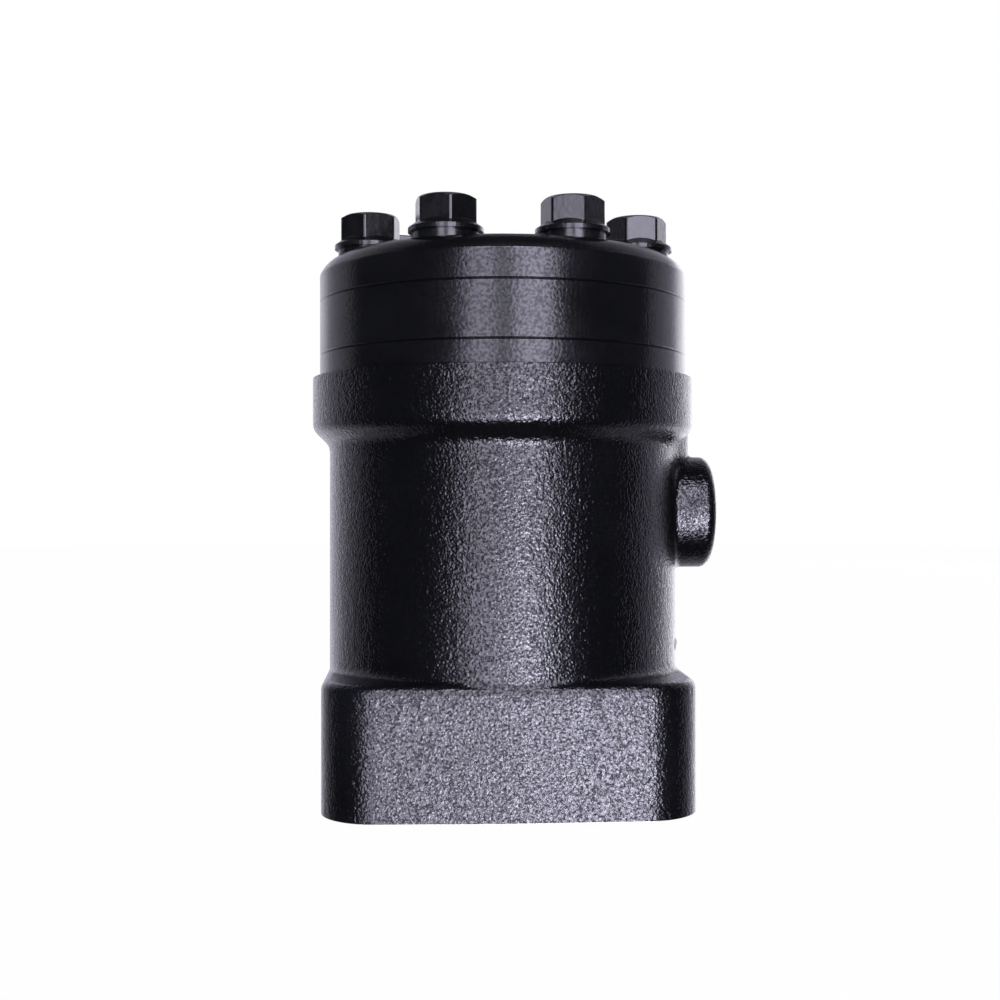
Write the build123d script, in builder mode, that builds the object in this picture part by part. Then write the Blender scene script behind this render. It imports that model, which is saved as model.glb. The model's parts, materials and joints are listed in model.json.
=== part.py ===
"""Orbital steering unit: an orbiting gerotor meter above a rotary spool-and-sleeve valve.

Millimetres. The origin is the centre of the mounting face. +Z runs along the main axis to the end
cover, +X points to the side port boss and +Y to the four main ports. The column shaft enters from -Z.
"""
import os
from math import atan2, cos, hypot, pi, radians, sin, sqrt, tan

from build123d import *

os.makedirs("parts", exist_ok=True)

# ---------------------------------------------------------------- driving dimensions: casting
stack_radius = 45.0                   # plate, ring and cover
housing_height = 100.0
body_radius = 42.6
collar_radius = 46.7
collar_height = 12.5
collar_taper_height = 4.0
collar_edge_radius = 1.5
collar_blend_radius = 3.5
flange_height = 30.0
flange_corner_radius = 13.2
flange_crown = 1.0            # how far the front and back faces stand out at the parting line
flange_side_crown = 0.5
flange_crown_radius = 60.0
flange_edge_radius = 2.2
flange_root_radius = 2.4
column_bolt_circle = 82.5
column_bolt_core_radius = 4.25        # M10 core
column_bolt_depth = 17.0
boss_radius = 13.7
boss_clearance = 0.92                 # from the top of the boss to the collar's blend
boss_stand_out = 4.6                  # beyond the collar
boss_edge_radius = 2.5
boss_root_radius = 1.5
web_setback = 0.5                     # behind the collar
web_width = 11.0
port_face_reach = 47.0
port_face_width = 73.0
port_face_corner_radius = 9.0
port_face_edge_radius = 2.5
port_face_margin = 2.4
main_port_core_radius = 9.32          # G 1/2 core
main_port_depth = 15.0
main_port_spacing_x = 44.0
main_port_spacing_z = 32.0
main_port_centre_z = 50.0
spotface_radius = 14.6
spotface_depth = 0.8
side_port_core_radius = 5.72          # G 1/4 core
side_port_depth = 13.0
side_spotface_radius = 10.0
side_drilling_radius = 2.0

# ---------------------------------------------------------------- driving dimensions: cover stack
plate_thickness = 5.5
ring_thickness = 13.0
cover_thickness = 10.3
cover_bevel_height = 3.8
cover_bevel_width = 4.0
cover_bevel_bulge = 0.4               # share of the bevel left beyond its arc's middle, below a half
cover_blend_radius = 1.2
plate_centre_radius = 12.4
oring_inset = 6.2                     # from the rim of the stack to the groove's inner wall
oring_width = 2.6
oring_groove_depth = 1.5
oring_side_gap = 0.2
oring_corner_radius = 0.6

# ---------------------------------------------------------------- driving dimensions: cover screws
screw_count = 7
screw_inset = 11.8                    # from the rim of the stack to the screws' axes
screw_radius = 4.0                    # M8
screw_length = 45.0
screw_hole_radius = 4.3
screw_engagement_end = 3.0            # tapped length left below the screw's end
hex_across_flats = 13.0
screw_flange_radius = 8.6
screw_flange_rim = 1.0
screw_flange_height = 2.5
screw_head_height = 8.1
hex_top_chamfer = 0.9
screw_turns = (11, 20.7, -21.7, -14.4, 2.6, -7)
washer_outer_radius = 7.75
washer_thickness = 2.0
thread_gap = 0.02

# ---------------------------------------------------------------- driving dimensions: gerotor set
rotor_lobes = 6
lobe_inset = 9.0                      # from the rim of the stack to the lobes' centres
lobe_radius = 9.5
eccentricity = 3.4
mesh_gap = 0.05
ring_corner_radius = 5.0
lobe_steps = 14                       # points of the curve along one rotor lobe
side_gap = 0.03                       # axial play of the rotor in its chamber, each side
stack_edge_chamfer = 0.3
meter_spline_teeth = 12
meter_spline_bore_radius = 7.3
meter_spline_root_radius = 8.8
meter_space_width = 2.14
spacer_thickness = 2.4
spacer_gap = 0.2

# ---------------------------------------------------------------- driving dimensions: valve
sleeve_radius = 19.0
spool_radius = 14.0
running_gap = 0.02
neck_gap = 0.05
end_float = 0.1
dust_seal_radius = 18.5
dust_seal_height = 5.0
dust_seal_recess = 0.6
dust_lip_wall = 1.2
seal_land = 2.9
seal_groove_width = 4.0
seal_groove_radius = 17.6
slide_ring_wall = 1.3
neck_land = 3.5
race_thickness = 1.2
needle_radius = 1.0
needle_length = 3.2
needle_count = 20
needle_gap = 0.02
cage_thickness = 1.5
race_bore_gap = 0.4
race_rim_gap = 0.12
spool_recess = 3.0                    # spool end below the mounting face
input_teeth = 12
input_minor_radius = 8.75             # 16/32 pitch spline, 12 teeth, 19.05 pitch circle
input_major_radius = 10.5
input_depth = 21.0
input_space_angle = 17.0
input_flank_lean = 3.2
spool_web = 2.8
spool_end_chamfer = 0.6
spool_bore_radius = 9.75
pin_z = 42.0
pin_radius = 4.0
pin_gap = 0.02
pin_end_gap = 0.4
valve_travel = 8.0                    # degrees each way between spool and sleeve
travel_gap = 0.12
slot_height = 6.2
slot_width = 5.2
slot_drop = 11.4                      # from the pin's axis down to the middle of the spring slots
leaf_thickness = 0.5
leaf_height = 6.0
leaf_end_gap = 0.25
leaf_side_gap = 0.05
leaf_gap = 0.02
retaining_ring_wall = 1.5
retaining_ring_height = 9.6
sleeve_port_radius = 1.5
bore_groove_radius = 22.0
bore_groove_width = 5.0
left_groove_z = 52.0
right_groove_z = 61.0
pressure_groove_z = 74.5
commutator_z = 84.0
drilling_radius = 2.6
passage_inset = 16.4                  # from the rim of the stack to the drillings in its face
spool_slot_width = 3.2
spool_slot_depth = 1.4

# ---------------------------------------------------------------- driving dimensions: cardan
fork_radius = 8.7
fork_slot_gap = 0.1
fork_slot_rise = 0.6
fork_edge_chamfer = 1.0
fork_reach_below = 4.8
fork_reach_above = 9.5
shank_radius = 6.2
cardan_tip_radius = 8.35
cardan_root_radius = 6.9
cardan_tooth_width = 2.0
cardan_tooth_crown = 0.27             # thinning of each flank at the tooth's ends
cardan_spline_length = 9.0
cardan_spline_lift = 0.75             # from the plate to the lowest tooth end

# ---------------------------------------------------------------- driving dimensions: check valve
ball_radius = 3.175
ball_bore_radius = 3.4
ball_lift = 1.6
ball_rest_gap = 0.03
check_drilling_radius = 1.8
roll_pin_radius = 2.0
roll_pin_wall = 0.5
roll_pin_slit = 0.6
roll_pin_depth = 6.0                  # pressed into the end of the check valve screw
roll_pin_reach = 6.0                  # below the end of the check valve screw

# ---------------------------------------------------------------- derived places
collar_z = housing_height - collar_height
taper_angle = atan2(collar_radius - body_radius, collar_taper_height)
blend_reach = collar_blend_radius * tan(taper_angle / 2)
boss_z = collar_z - collar_taper_height - blend_reach - boss_clearance - boss_radius
boss_reach = collar_radius + boss_stand_out
web_reach = collar_radius - web_setback
screw_circle_radius = stack_radius - screw_inset
lobe_centre_radius = stack_radius - lobe_inset
oring_inner_radius = stack_radius - oring_inset
passage_radius = stack_radius - passage_inset

bolt_offset = column_bolt_circle / 2 / sqrt(2)
flange_half = bolt_offset + flange_corner_radius
plate_z = housing_height
ring_z = plate_z + plate_thickness
cover_z = ring_z + ring_thickness
cover_top_z = cover_z + cover_thickness
screw_seat_z = cover_top_z + washer_thickness
screw_end_z = screw_seat_z - screw_length
oring_radius = oring_inner_radius + oring_width / 2

dust_pocket_top = dust_seal_recess + dust_seal_height
seal_groove_z = dust_pocket_top + seal_land
shoulder_z = seal_groove_z + seal_groove_width + neck_land
main_bore_radius = sleeve_radius + running_gap
neck_radius = spool_radius + neck_gap
needle_z = shoulder_z + race_thickness + needle_gap + needle_radius
inner_race_z = needle_z + needle_radius + needle_gap
sleeve_z = inner_race_z + race_thickness
sleeve_top = housing_height - end_float
slot_z = pin_z - slot_drop
race_inner_radius = spool_radius + race_bore_gap
race_outer_radius = sleeve_radius - race_rim_gap
ring_seat_radius = race_outer_radius - retaining_ring_wall - running_gap
retaining_ring_z = slot_z - retaining_ring_height / 2

meter_bottom = ring_z + side_gap
meter_thickness = ring_thickness - 2 * side_gap
spline_low_z = ring_z + cardan_spline_lift
spline_mid_z = spline_low_z + cardan_spline_length / 2
spacer_z = cover_z - side_gap - spacer_thickness

check_y = screw_circle_radius
ball_top_z = screw_end_z - roll_pin_reach - ball_lift
ball_z = ball_top_z - ball_radius
seat_apex_z = ball_z - ball_rest_gap - ball_radius * sqrt(2)
first_screw_angle = 90.0              # the check valve screw, towards +Y
screw_step = 360 / screw_count
ON_BASE = (Align.CENTER, Align.CENTER, Align.MIN)


def polar(radius, angle, z=0.0):
    """Point at a radius and an angle in degrees from +X."""
    return (radius * cos(radians(angle)), radius * sin(radians(angle)), z)


def finish(piece, name):
    """Label a finished piece and write its STEP file."""
    piece.part.label = name
    export_step(piece.part, f"parts/{name}.step")


def drill(start, end, radius):
    """Straight drilling between two points."""
    run = Vector(*end) - Vector(*start)
    with BuildSketch(Plane(origin=start, z_dir=run)) as section:
        Circle(radius)
    extrude(section.sketch, amount=run.length, mode=Mode.SUBTRACT)


def bore(z, radius, height):
    """Round cut about the main axis, from z upwards."""
    with Locations((0, 0, z)):
        Cylinder(radius, height, align=ON_BASE, mode=Mode.SUBTRACT)


def turned_ring(z, inner, outer, height, mode=Mode.ADD):
    """Plain ring about the main axis, standing on z; a disc where the inner radius is 0."""
    with BuildSketch(Plane.XY.offset(z)) as section:
        Circle(outer)
        if inner:
            Circle(inner, mode=Mode.SUBTRACT)
    extrude(section.sketch, amount=height, mode=mode)


# ================================================================ housing casting
with BuildPart() as housing:
    # square mounting flange, its front and back faces drafted from the parting line
    with BuildSketch() as flange_outline:
        crown_y = flange_half + flange_crown
        with BuildLine():
            Polyline(
                (0, -crown_y),
                (flange_half, -flange_half),
                (flange_half + flange_side_crown, 0),
                (flange_half, flange_half),
                (0, crown_y),
                (-flange_half, flange_half),
                (-flange_half - flange_side_crown, 0),
                (-flange_half, -flange_half),
                close=True,
            )
        make_face()
        crowns = flange_outline.vertices().filter_by(lambda v: abs(v.X) < 1 or abs(v.Y) < 1)
        fillet(crowns, flange_crown_radius)
        square_corners = flange_outline.vertices().filter_by(
            lambda v: abs(abs(v.X) - flange_half) < 0.001 and abs(abs(v.Y) - flange_half) < 0.001
        )
        fillet(square_corners, flange_corner_radius)
    extrude(amount=flange_height)
    fillet(housing.faces().sort_by(Axis.Z)[-1].edges(), flange_edge_radius)

    # round body with its collar
    with BuildSketch(Plane.XZ) as body_profile:
        with BuildLine():
            Polyline(
                (0, 0),
                (body_radius, 0),
                (body_radius, collar_z - collar_taper_height),
                (collar_radius, collar_z),
                (collar_radius, housing_height),
                (0, housing_height),
                close=True,
            )
        make_face()
        corners = body_profile.vertices().filter_by(lambda v: v.X > body_radius - 1).sort_by(Axis.Y)
        fillet(corners[1:3], collar_blend_radius)
        fillet(corners[3], collar_edge_radius)
    revolve(axis=Axis.Z)
    ledge = housing.edges().filter_by(
        lambda e: abs(e.center().Z - flange_height) < 2 * flange_edge_radius
        and abs(hypot(e.position_at(0.5).X, e.position_at(0.5).Y) - body_radius) < 0.01
    )
    fillet(ledge, flange_root_radius)

    # side port boss, with its web up to the collar
    web_flat = web_reach - web_width / 2
    with BuildSketch(Plane.XY.offset(boss_z)):
        with Locations((web_flat / 2, 0)):
            Rectangle(web_flat, web_width)
        with Locations((web_flat, 0)):
            Circle(web_width / 2)
    extrude(amount=collar_z + 1 - boss_z)
    with BuildSketch(Plane.YZ):
        with Locations((0, boss_z)):
            Circle(boss_radius)
    extrude(amount=boss_reach)
    fillet(housing.edges().group_by(Axis.X)[-1], boss_edge_radius)
    roots = housing.edges().filter_by(
        lambda e: body_radius - boss_radius / 2 < e.center().X < boss_reach - 2 * boss_edge_radius
        and abs(e.center().Z - boss_z) < boss_radius + boss_root_radius
        and e.geom_type == GeomType.BSPLINE
    )
    fillet(roots, boss_root_radius)

    # flat face for the four main ports
    port_face_height = main_port_spacing_z + 2 * (spotface_radius + port_face_margin)
    with BuildSketch(Plane.XZ.offset(-port_face_reach)) as port_face:
        with Locations((0, main_port_centre_z)):
            RectangleRounded(port_face_width, port_face_height, port_face_corner_radius)
    extrude(amount=port_face_reach)
    fillet(housing.faces().sort_by(Axis.Y)[-1].edges(), port_face_edge_radius)

    # valve bore, its neck, the two seal seats and the oil grooves
    bore(0, dust_seal_radius, dust_pocket_top)
    bore(dust_pocket_top, neck_radius, shoulder_z - dust_pocket_top)
    bore(seal_groove_z, seal_groove_radius, seal_groove_width)
    bore(shoulder_z, main_bore_radius, housing_height - shoulder_z)
    for groove_z in (pin_z, left_groove_z, right_groove_z, pressure_groove_z):
        bore(groove_z - bore_groove_width / 2, bore_groove_radius, bore_groove_width)
    turned_ring(
        housing_height - oring_groove_depth,
        oring_inner_radius,
        oring_inner_radius + oring_width,
        oring_groove_depth,
        Mode.SUBTRACT,
    )

    # tapped holes for the column and for the cover screws
    with GridLocations(2 * bolt_offset, 2 * bolt_offset, 2, 2):
        Hole(column_bolt_core_radius, column_bolt_depth)
    with Locations((0, 0, housing_height)):
        with PolarLocations(screw_circle_radius, screw_count, first_screw_angle):
            Hole(screw_radius + thread_gap, housing_height - screw_end_z + screw_engagement_end)

    # four main ports and their drillings to the grooves
    with Locations(Plane.XZ.offset(-port_face_reach)):
        with Locations((0, main_port_centre_z)):
            with GridLocations(main_port_spacing_x, main_port_spacing_z, 2, 2):
                Cylinder(main_port_core_radius, main_port_depth, align=ON_BASE, mode=Mode.SUBTRACT)
                Cylinder(spotface_radius, spotface_depth, align=ON_BASE, mode=Mode.SUBTRACT)
    port_floor = port_face_reach - main_port_depth
    groove_entry_x = main_bore_radius / 2
    groove_entry_y = main_bore_radius * sqrt(3) / 2
    for side, level, groove_z in (
        (-1, -1, pin_z),
        (1, -1, left_groove_z),
        (-1, 1, right_groove_z),
        (1, 1, pressure_groove_z),
    ):
        port_centre = (
            side * main_port_spacing_x / 2,
            port_floor + drilling_radius,
            main_port_centre_z + level * main_port_spacing_z / 2,
        )
        drill(port_centre, (side * groove_entry_x, groove_entry_y, groove_z), drilling_radius)

    # side port
    with Locations(Plane.YZ.offset(boss_reach)):
        with Locations((0, boss_z)):
            CounterBoreHole(
                side_port_core_radius,
                side_spotface_radius,
                spotface_depth,
                side_port_depth,
            )
    drill(
        (boss_reach - side_port_depth, 0, boss_z),
        (main_bore_radius - running_gap - 1, 0, boss_z),
        side_drilling_radius,
    )

    # slanted drillings between the valve bore and the chambers of the meter
    for k in range(screw_count):
        gap_angle = first_screw_angle + (k + 0.5) * screw_step
        drill(
            polar(passage_radius, gap_angle, housing_height),
            polar(main_bore_radius - 0.5, gap_angle, commutator_z),
            drilling_radius,
        )

    # check valve under the screw on the port side: ball bore, seat and its two drillings
    seat_top_z = seat_apex_z + ball_bore_radius
    with Locations((0, check_y, seat_top_z)):
        Cylinder(ball_bore_radius, screw_end_z - seat_top_z, align=ON_BASE, mode=Mode.SUBTRACT)
    with Locations((0, check_y, seat_apex_z)):
        Cone(0, ball_bore_radius, ball_bore_radius, align=ON_BASE, mode=Mode.SUBTRACT)
    drill((0, check_y, ball_z), (0, check_y, pin_z), check_drilling_radius)
    drill((0, check_y, pin_z), (0, main_bore_radius, pin_z), check_drilling_radius)
    drill((0, check_y, ball_z), (0, main_bore_radius, pressure_groove_z), check_drilling_radius)

finish(housing, "housing")


# ================================================================ cover stack
def rim_edges(piece, radius):
    """Circular edges of a piece that have the given radius."""
    circles = piece.edges().filter_by(GeomType.CIRCLE)
    return circles.filter_by(lambda e: abs(e.radius - radius) < 0.001)


with BuildPart() as distributor_plate:
    turned_ring(plate_z, plate_centre_radius, stack_radius, plate_thickness)
    with Locations((0, 0, ring_z)):
        with PolarLocations(screw_circle_radius, screw_count, first_screw_angle):
            Hole(screw_hole_radius)
        with PolarLocations(passage_radius, screw_count, first_screw_angle + screw_step / 2):
            Hole(drilling_radius)
    chamfer(rim_edges(distributor_plate, stack_radius), stack_edge_chamfer)
finish(distributor_plate, "distributor_plate")

# the meter's chamber: a circle with seven lobes standing into it
with BuildSketch(Plane.XY.offset(ring_z)) as cavity:
    Circle(lobe_centre_radius - lobe_radius + 2 * (eccentricity + mesh_gap))
    with PolarLocations(lobe_centre_radius, screw_count, first_screw_angle):
        Circle(lobe_radius, mode=Mode.SUBTRACT)
    fillet(cavity.vertices(), ring_corner_radius)

with BuildPart() as gerotor_ring:
    turned_ring(ring_z, 0, stack_radius, ring_thickness)
    extrude(cavity.sketch, amount=ring_thickness, mode=Mode.SUBTRACT)
    with Locations((0, 0, cover_z)):
        with PolarLocations(screw_circle_radius, screw_count, first_screw_angle):
            Hole(screw_hole_radius)
    for groove_z in (ring_z, cover_z - oring_groove_depth):
        turned_ring(
            groove_z,
            oring_inner_radius,
            oring_inner_radius + oring_width,
            oring_groove_depth,
            Mode.SUBTRACT,
        )
    chamfer(rim_edges(gerotor_ring, stack_radius), stack_edge_chamfer)
finish(gerotor_ring, "gerotor_ring")

with BuildPart() as end_cover:
    with BuildSketch(Plane.XZ):
        with BuildLine():
            bevel_low = (stack_radius, cover_top_z - cover_bevel_height)
            bevel_high = (stack_radius - cover_bevel_width, cover_top_z)
            bevel_middle = (
                stack_radius - cover_bevel_width * cover_bevel_bulge,
                cover_top_z - cover_bevel_height * cover_bevel_bulge,
            )
            Polyline((0, cover_top_z), (0, cover_z), (stack_radius, cover_z), bevel_low)
            ThreePointArc(bevel_low, bevel_middle, bevel_high)
            Line(bevel_high, (0, cover_top_z))
        make_face()
    revolve(axis=Axis.Z)
    fillet(rim_edges(end_cover, stack_radius).sort_by(Axis.Z)[-1], cover_blend_radius)
    fillet(rim_edges(end_cover, stack_radius - cover_bevel_width), cover_blend_radius)
    chamfer(rim_edges(end_cover, stack_radius).sort_by(Axis.Z)[0], stack_edge_chamfer)
    with Locations((0, 0, cover_top_z)):
        with PolarLocations(screw_circle_radius, screw_count, first_screw_angle):
            Hole(screw_hole_radius)
finish(end_cover, "end_cover")

for oring_name, oring_z in (
    ("housing_oring", housing_height - oring_groove_depth),
    ("ring_lower_oring", ring_z),
    ("ring_upper_oring", cover_z - oring_groove_depth),
):
    with BuildPart() as oring:
        with BuildSketch(Plane.XZ) as cord:
            with Locations((oring_radius, oring_z + oring_groove_depth / 2)):
                RectangleRounded(oring_width - 2 * oring_side_gap, oring_groove_depth, oring_corner_radius)
        revolve(axis=Axis.Z)
    finish(oring, oring_name)


# ================================================================ cover screws and washers
def hex_flange_screw():
    """Hex flange screw with the underside of its flange on z = 0, pointing down."""
    with BuildPart() as screw:
        with BuildSketch():
            RegularPolygon(hex_across_flats / 2, 6, major_radius=False)
        extrude(amount=screw_head_height)
        with BuildSketch(Plane.XZ):
            corner = hex_across_flats / sqrt(3)
            with BuildLine():
                Polyline(
                    (0, 0),
                    (corner, 0),
                    (corner, screw_head_height - hex_top_chamfer),
                    (hex_across_flats / 2 - hex_top_chamfer / 2, screw_head_height),
                    (0, screw_head_height),
                    close=True,
                )
            make_face()
        revolve(axis=Axis.Z, mode=Mode.INTERSECT)
        Cylinder(screw_flange_radius, screw_flange_rim, align=ON_BASE)
        with Locations((0, 0, screw_flange_rim)):
            Cone(
                screw_flange_radius,
                hex_across_flats / 2,
                screw_flange_height - screw_flange_rim,
                align=ON_BASE,
            )
        with Locations((0, 0, -screw_length)):
            Cylinder(screw_radius, screw_length, align=ON_BASE)
        chamfer(screw.edges().sort_by(Axis.Z)[0], screw_radius / 8)
    return screw


cover_screw = hex_flange_screw()
with BuildPart() as cover_screws:
    for k, turn in enumerate(screw_turns, start=1):
        place = polar(screw_circle_radius, first_screw_angle + k * screw_step, screw_seat_z)
        with Locations(Location(place, (0, 0, turn))):
            add(cover_screw.part)
finish(cover_screws, "cover_screws")

with BuildPart() as check_valve_screw:
    with Locations((0, screw_circle_radius, screw_seat_z)):
        add(cover_screw.part)
    with Locations((0, screw_circle_radius, screw_end_z)):
        Cylinder(roll_pin_radius, roll_pin_depth, align=ON_BASE, mode=Mode.SUBTRACT)
finish(check_valve_screw, "check_valve_screw")

with BuildPart() as screw_washers:
    with BuildSketch(Plane.XY.offset(cover_top_z)):
        with PolarLocations(screw_circle_radius, screw_count, first_screw_angle):
            Circle(washer_outer_radius)
            Circle(screw_hole_radius, mode=Mode.SUBTRACT)
    extrude(amount=washer_thickness)
finish(screw_washers, "screw_washers")

# ================================================================ check valve
with BuildPart() as check_ball:
    with Locations((0, check_y, ball_z)):
        Sphere(ball_radius)
finish(check_ball, "check_ball")

with BuildPart() as roll_pin:
    with Locations((0, check_y, screw_end_z - roll_pin_reach)):
        Cylinder(roll_pin_radius, roll_pin_reach + roll_pin_depth, align=ON_BASE)
        Cylinder(
            roll_pin_radius - roll_pin_wall,
            roll_pin_reach + roll_pin_depth,
            align=ON_BASE,
            mode=Mode.SUBTRACT,
        )
        Box(
            roll_pin_radius,
            roll_pin_slit,
            roll_pin_reach + roll_pin_depth,
            align=(Align.MIN, Align.CENTER, Align.MIN),
            mode=Mode.SUBTRACT,
        )
finish(roll_pin, "roll_pin")


# ================================================================ gerotor rotor and drive
def lobe_curve(steps):
    """One lobe of the rotor from valley to valley: the lobe centres' trochoid, set in by their radius."""
    points = []
    inset = lobe_radius + mesh_gap
    for k in range(steps + 1):
        t = 2 * pi / rotor_lobes * k / steps
        x = lobe_centre_radius * cos(t) - eccentricity * cos(screw_count * t)
        y = lobe_centre_radius * sin(t) - eccentricity * sin(screw_count * t)
        dx = -lobe_centre_radius * sin(t) + screw_count * eccentricity * sin(screw_count * t)
        dy = lobe_centre_radius * cos(t) - screw_count * eccentricity * cos(screw_count * t)
        length = hypot(dx, dy)
        points.append((x - inset * dy / length, y + inset * dx / length))
    return points


rotor_plane = Plane((0, eccentricity, meter_bottom), x_dir=(0, 1, 0), z_dir=(0, 0, 1))
lobe_end = 360 / rotor_lobes
with BuildLine() as rotor_lobe:
    Spline(*lobe_curve(lobe_steps), tangents=((0, 1), polar(1, lobe_end + 90)[:2]))

with BuildPart() as gerotor_rotor:
    with BuildSketch(rotor_plane):
        with BuildLine():
            for k in range(rotor_lobes):
                add(rotor_lobe.line.rotate(Axis.Z, k * lobe_end))
        make_face()
        Circle(meter_spline_bore_radius, mode=Mode.SUBTRACT)
        with PolarLocations(0, meter_spline_teeth):
            with Locations((meter_spline_root_radius / 2, 0)):
                Rectangle(meter_spline_root_radius, meter_space_width, mode=Mode.SUBTRACT)
    extrude(amount=meter_thickness)
finish(gerotor_rotor, "gerotor_rotor")

with BuildPart() as drive_spacer:
    with BuildSketch(Plane((0, eccentricity, spacer_z))):
        Circle(meter_spline_bore_radius - spacer_gap)
    extrude(amount=spacer_thickness)
    chamfer(drive_spacer.edges(), spacer_gap)
finish(drive_spacer, "drive_spacer")

# The cardan shaft is drawn upright about its pin and then leaned over to the rotor's centre.
spline_middle = hypot(eccentricity, spline_mid_z - pin_z)
spline_foot = spline_middle - cardan_spline_length / 2
spline_head = spline_middle + cardan_spline_length / 2

with BuildPart() as cardan_tooth:
    with BuildSketch(Plane.YZ):
        with Locations((0, spline_middle)):
            with BuildLine():
                half_width = cardan_tooth_width / 2
                end_width = half_width - cardan_tooth_crown
                for side in (-1, 1):
                    ThreePointArc(
                        (side * end_width, spline_foot),
                        (side * half_width, spline_middle),
                        (side * end_width, spline_head),
                    )
                for height in (spline_foot, spline_head):
                    Line((-end_width, height), (end_width, height))
            make_face()
    extrude(amount=cardan_tip_radius)
    with BuildSketch(Plane.XZ):
        with BuildLine():
            end_radius = cardan_tip_radius - cardan_tooth_crown
            ThreePointArc(
                (end_radius, spline_foot),
                (cardan_tip_radius, spline_middle),
                (end_radius, spline_head),
            )
            Polyline(
                (end_radius, spline_head),
                (0, spline_head),
                (0, spline_foot),
                (end_radius, spline_foot),
            )
        make_face()
    revolve(axis=Axis.Z, mode=Mode.INTERSECT)

with BuildPart() as upright_cardan:
    with BuildSketch(Plane.XZ):
        with BuildLine():
            Polyline(
                (0, -fork_reach_below),
                (fork_radius, -fork_reach_below),
                (fork_radius, fork_reach_above),
                (shank_radius, fork_reach_above + fork_radius),
                (shank_radius, spline_foot - fork_radius / 2),
                (cardan_root_radius, spline_foot),
                (cardan_root_radius, spline_head),
                (0, spline_head),
                close=True,
            )
        make_face()
    revolve(axis=Axis.Z)
    with PolarLocations(0, meter_spline_teeth):
        add(cardan_tooth.part)
    chamfer(upright_cardan.edges().filter_by(GeomType.CIRCLE).sort_by(Axis.Z)[0], fork_edge_chamfer)
    slot_half = pin_radius + fork_slot_gap
    with BuildSketch(Plane.YZ):
        with Locations((0, fork_slot_rise)):
            Circle(slot_half)
        with Locations((0, fork_slot_rise - fork_reach_below)):
            Rectangle(2 * slot_half, 2 * fork_reach_below)
    extrude(amount=fork_radius, both=True, mode=Mode.SUBTRACT)

lean = Plane((0, 0, pin_z), x_dir=(1, 0, 0), z_dir=(0, eccentricity, spline_mid_z - pin_z))
with BuildPart() as cardan_shaft:
    with Locations(lean):
        add(upright_cardan.part)
finish(cardan_shaft, "cardan_shaft")


# ================================================================ valve: spool, sleeve and their pieces
def radial_holes(z, radius, count, start_angle):
    """Row of radial holes through a tube about the main axis."""
    with Locations((0, 0, z)):
        with PolarLocations(sleeve_radius / 2, count, start_angle):
            Cylinder(radius, sleeve_radius, rotation=(0, 90, 0), mode=Mode.SUBTRACT)


def cross_hole(radius, length, mode):
    """Round bar or hole along X through the pin's axis."""
    with Locations((0, 0, pin_z)):
        Cylinder(radius, length, rotation=(0, 90, 0), mode=mode)


def spring_slot():
    """Slot along Y, right across a valve member, for the leaf springs."""
    with Locations((0, 0, slot_z)):
        Box(slot_width, 3 * sleeve_radius, slot_height, mode=Mode.SUBTRACT)


with BuildPart() as spool:
    with Locations((0, 0, spool_recess)):
        Cylinder(spool_radius, sleeve_top - spool_recess, align=ON_BASE)
    chamfer(spool.edges().filter_by(GeomType.CIRCLE), spool_end_chamfer)
    # splined socket for the steering column's shaft
    with BuildSketch(Plane.XY.offset(spool_recess)):
        Circle(input_minor_radius)
        space_foot = polar(input_minor_radius - 0.5, input_space_angle / 2)
        space_crest = polar(input_major_radius, input_space_angle / 2 - input_flank_lean)
        with PolarLocations(0, input_teeth):
            Polygon(
                (space_foot[0], space_foot[1]),
                (space_crest[0], space_crest[1]),
                (space_crest[0], -space_crest[1]),
                (space_foot[0], -space_foot[1]),
                align=None,
            )
    extrude(amount=input_depth, mode=Mode.SUBTRACT)
    # bore that the cardan shaft hangs in, pin windows and spring slot
    bore_floor = slot_z + slot_height / 2 + spool_web
    with Locations((0, 0, bore_floor)):
        Cylinder(spool_bore_radius, sleeve_top - bore_floor, align=ON_BASE, mode=Mode.SUBTRACT)
    window_radius = pin_radius + spool_radius * sin(radians(valve_travel)) + travel_gap
    cross_hole(window_radius, 3 * spool_radius, Mode.SUBTRACT)
    spring_slot()
    # metering slots: six long ones over the pressure row, six short ones between them
    slot_count = rotor_lobes
    long_slot = pressure_groove_z - left_groove_z + 2 * sleeve_port_radius
    short_slot = commutator_z - pressure_groove_z + 2 * sleeve_port_radius
    for start, middle, length in (
        (0, (left_groove_z + pressure_groove_z) / 2, long_slot),
        (180 / slot_count, (pressure_groove_z + commutator_z) / 2, short_slot),
    ):
        with Locations((0, 0, middle)):
            with PolarLocations(spool_radius, slot_count, start):
                Box(2 * spool_slot_depth, spool_slot_width, length, mode=Mode.SUBTRACT)
    radial_holes(right_groove_z, sleeve_port_radius, slot_count, 180 / slot_count)
finish(spool, "spool")

with BuildPart() as sleeve:
    turned_ring(sleeve_z, spool_radius + running_gap, sleeve_radius, sleeve_top - sleeve_z)
    # reduced end that the retaining ring slides on to
    ring_top_z = retaining_ring_z + retaining_ring_height
    turned_ring(sleeve_z, ring_seat_radius, sleeve_radius, ring_top_z - sleeve_z, Mode.SUBTRACT)
    cross_hole(pin_radius + pin_gap, 3 * sleeve_radius, Mode.SUBTRACT)
    spring_slot()
    for row_z, row_count in (
        (left_groove_z, rotor_lobes),
        (right_groove_z, rotor_lobes),
        (pressure_groove_z, rotor_lobes),
        (commutator_z, 2 * rotor_lobes),
    ):
        radial_holes(row_z, sleeve_port_radius, row_count, 0)
finish(sleeve, "sleeve")

with BuildPart() as cross_pin:
    cross_hole(pin_radius, 2 * (sleeve_radius - pin_end_gap), Mode.ADD)
    chamfer(cross_pin.edges().filter_by(GeomType.CIRCLE), pin_end_gap)
finish(cross_pin, "cross_pin")

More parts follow.
